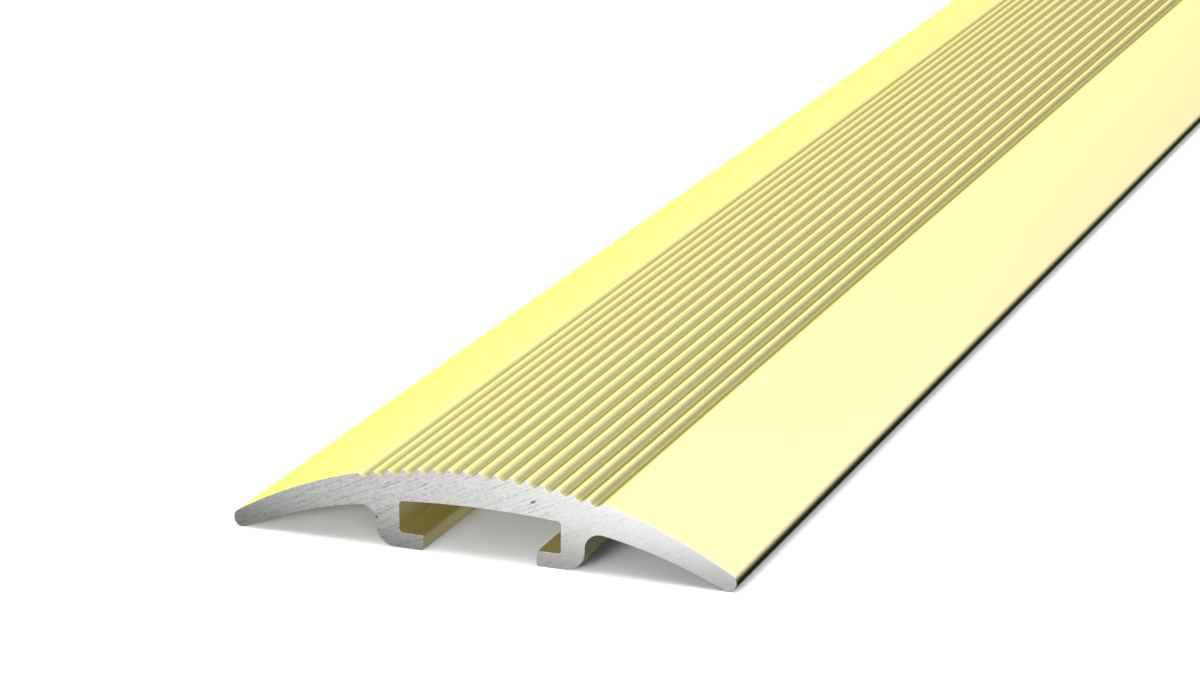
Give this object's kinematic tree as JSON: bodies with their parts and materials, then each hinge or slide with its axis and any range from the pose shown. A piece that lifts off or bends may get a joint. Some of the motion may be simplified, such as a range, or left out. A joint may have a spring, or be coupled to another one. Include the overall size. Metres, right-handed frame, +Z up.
{
  "type": "floor transition strip",
  "caption": "Low arched aluminium cover strip for the joint between two floors, with a ribbed tread band, rounded toes and hooked legs below that clip onto a floor rail.",
  "frame": {"origin": "middle of the strip's footprint at floor level, halfway along its length", "axes": "+Y along the strip, +X across it, +Z up through the ribbed crown"},
  "size_m": [0.04, 0.9, 0.0066],
  "materials": {
    "anodised_aluminium": "pale gold anodised, smooth satin; both ends sawn bare"
  },
  "bodies": {
    "root": {"transition_strip": "anodised_aluminium"}
  },
  "joints": []
}
